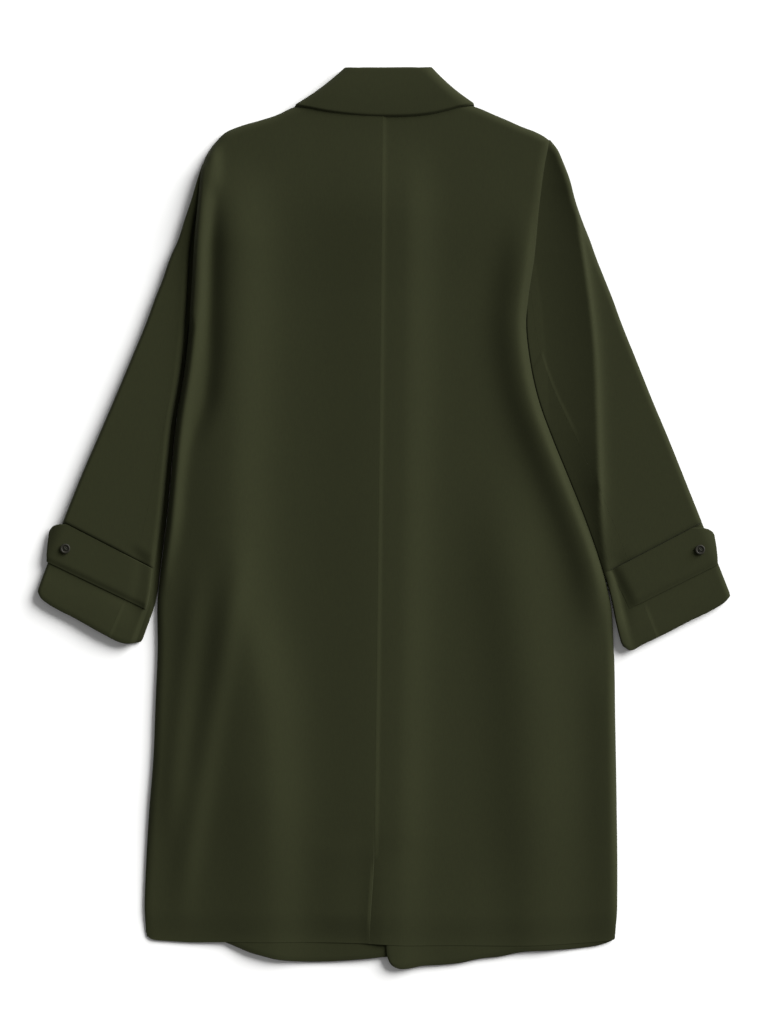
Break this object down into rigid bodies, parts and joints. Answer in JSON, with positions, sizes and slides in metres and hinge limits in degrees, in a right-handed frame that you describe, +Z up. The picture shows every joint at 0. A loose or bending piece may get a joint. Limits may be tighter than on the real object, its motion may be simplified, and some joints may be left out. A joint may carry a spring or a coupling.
{
  "type": "collared overcoat laid flat",
  "caption": "Knee-length dark olive wool coat laid flat with its back up, turn-down collar over a centre-back seam, vent at the hem and buttoned tabs across the sleeve ends.",
  "frame": {"origin": "centre of the coat's plan box, on the surface it lies on", "axes": "+Z up from the surface, out of the coat's back; +Y from the hem to the collar; +X towards the wearer's right sleeve"},
  "size_m": [0.8668, 1.1277, 0.0219],
  "materials": {
    "wool": "felted double-faced wool, matt with a short nap",
    "wool_front": "inner face of the same felted wool",
    "horn": "dark horn-look resin, satin"
  },
  "bodies": {
    "root": {"back_left": "wool", "back_right": "wool", "front_left": "wool_front", "front_right": "wool_front", "sleeve_top_left": "wool", "sleeve_top_right": "wool", "sleeve_under_left": "wool", "sleeve_under_right": "wool", "collar": "wool", "tab_left": "wool", "tab_right": "wool", "button_left": "horn", "button_right": "horn"}
  },
  "joints": []
}
